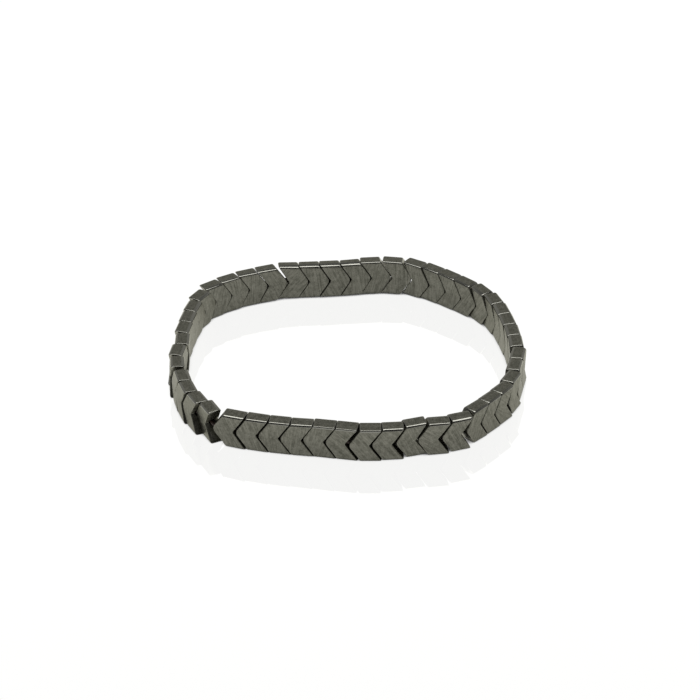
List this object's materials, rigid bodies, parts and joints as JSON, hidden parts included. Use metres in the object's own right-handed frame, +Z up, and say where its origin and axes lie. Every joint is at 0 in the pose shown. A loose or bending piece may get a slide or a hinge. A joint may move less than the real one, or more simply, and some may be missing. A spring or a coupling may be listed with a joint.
{
  "type": "beaded stretch bracelet",
  "caption": "Stretch bracelet of dark polished chevron beads that nest nose in notch on a hidden elastic cord, lying on its side.",
  "frame": {"origin": "under the middle of the bracelet's box, at the level of the surface that it lies on", "axes": "+X to the right and +Z up as the picture shows it, with the camera's side towards -Y"},
  "size_m": [0.063, 0.0597, 0.0067],
  "materials": {
    "bead_stone": "polished dark grey hematite with bright worn edges",
    "cord": "matt dark red-brown elastic"
  },
  "bodies": {
    "root": {"bead_01": "bead_stone", "bead_02": "bead_stone", "bead_03": "bead_stone", "bead_04": "bead_stone", "bead_05": "bead_stone", "bead_06": "bead_stone", "bead_07": "bead_stone", "bead_08": "bead_stone", "bead_09": "bead_stone", "bead_10": "bead_stone", "bead_11": "bead_stone", "bead_12": "bead_stone", "bead_13": "bead_stone", "bead_14": "bead_stone", "bead_15": "bead_stone", "bead_16": "bead_stone", "bead_17": "bead_stone", "bead_18": "bead_stone", "bead_19": "bead_stone", "bead_20": "bead_stone", "bead_21": "bead_stone", "bead_22": "bead_stone", "bead_23": "bead_stone", "bead_24": "bead_stone", "bead_25": "bead_stone", "bead_26": "bead_stone", "bead_27": "bead_stone", "bead_28": "bead_stone", "bead_29": "bead_stone", "bead_30": "bead_stone", "bead_31": "bead_stone", "bead_32": "bead_stone", "bead_33": "bead_stone", "bead_34": "bead_stone", "bead_35": "bead_stone", "bead_36": "bead_stone", "bead_37": "bead_stone", "bead_38": "bead_stone", "bead_39": "bead_stone", "bead_40": "bead_stone", "bead_41": "bead_stone", "bead_42": "bead_stone", "bead_43": "bead_stone", "bead_44": "bead_stone", "bead_45": "bead_stone", "bead_46": "bead_stone", "bead_47": "bead_stone", "bead_48": "bead_stone", "stretch_cord": "cord"}
  },
  "joints": []
}
